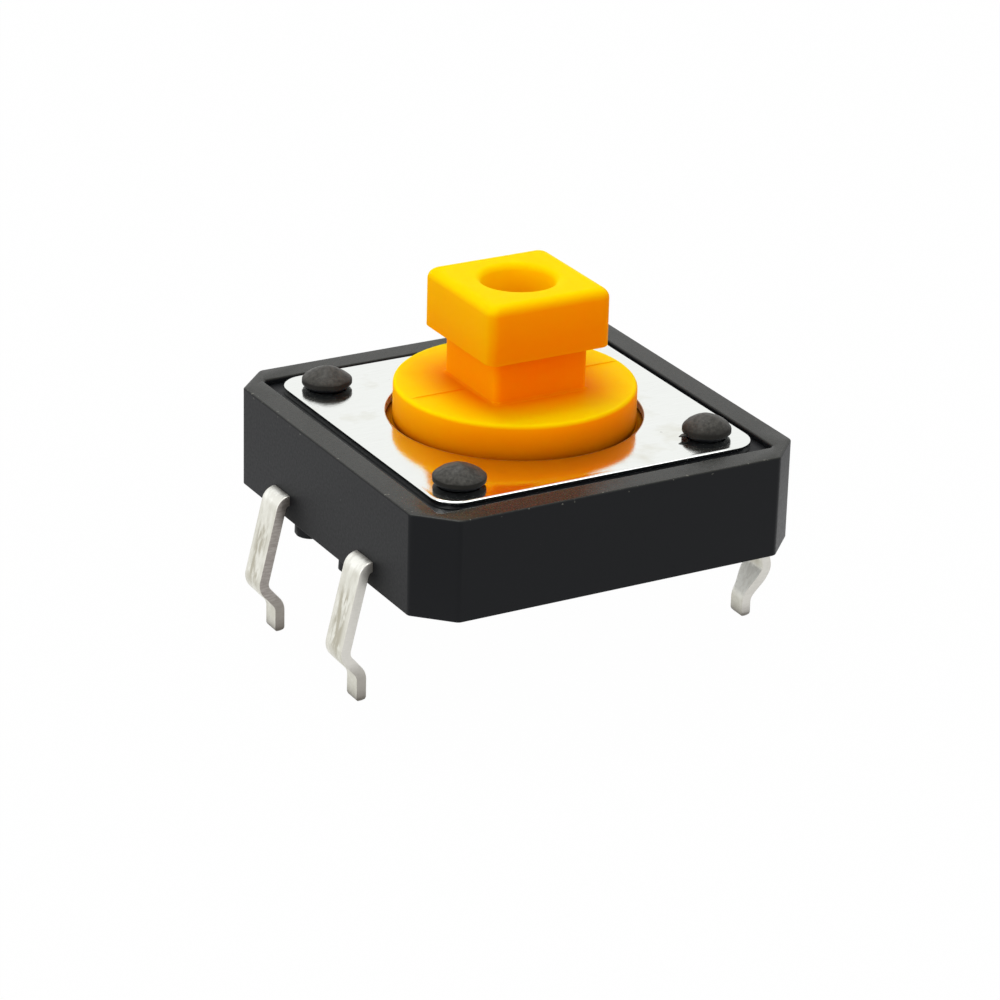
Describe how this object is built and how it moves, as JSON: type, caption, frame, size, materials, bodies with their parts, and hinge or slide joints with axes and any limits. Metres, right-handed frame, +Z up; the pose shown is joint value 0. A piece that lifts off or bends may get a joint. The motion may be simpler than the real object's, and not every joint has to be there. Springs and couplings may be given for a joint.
{
  "type": "tactile push button switch",
  "caption": "Square through-hole tactile push button switch with a tall stepped button, a staked metal cover and kinked terminals.",
  "frame": {"origin": "centre of the body on the board's top face, which the feet stand on", "axes": "+Z up out of the board along the button's axis, +X across the two rows of terminals, +Y along a row"},
  "size_m": [0.0138, 0.012, 0.0104],
  "materials": {
    "base_plastic": "moulded, fine grain",
    "cover_steel": "bright rolled",
    "button_plastic": "satin, slightly translucent",
    "dome_steel": "bright rolled",
    "terminal_metal": "tin plated"
  },
  "bodies": {
    "housing": {"base": "base_plastic", "cover_plate": "cover_steel", "snap_dome": "dome_steel", "centre_terminal": "terminal_metal", "outer_terminal": "terminal_metal"},
    "plunger": {"button": "button_plastic"}
  },
  "joints": [
    {"name": "button_press", "type": "slide", "parent": "housing", "child": "plunger", "axis": [0, 0, -1], "range_m": [0, 0.0003], "stiffness_N_per_m": 8000, "deforming": ["snap_dome"]}
  ]
}
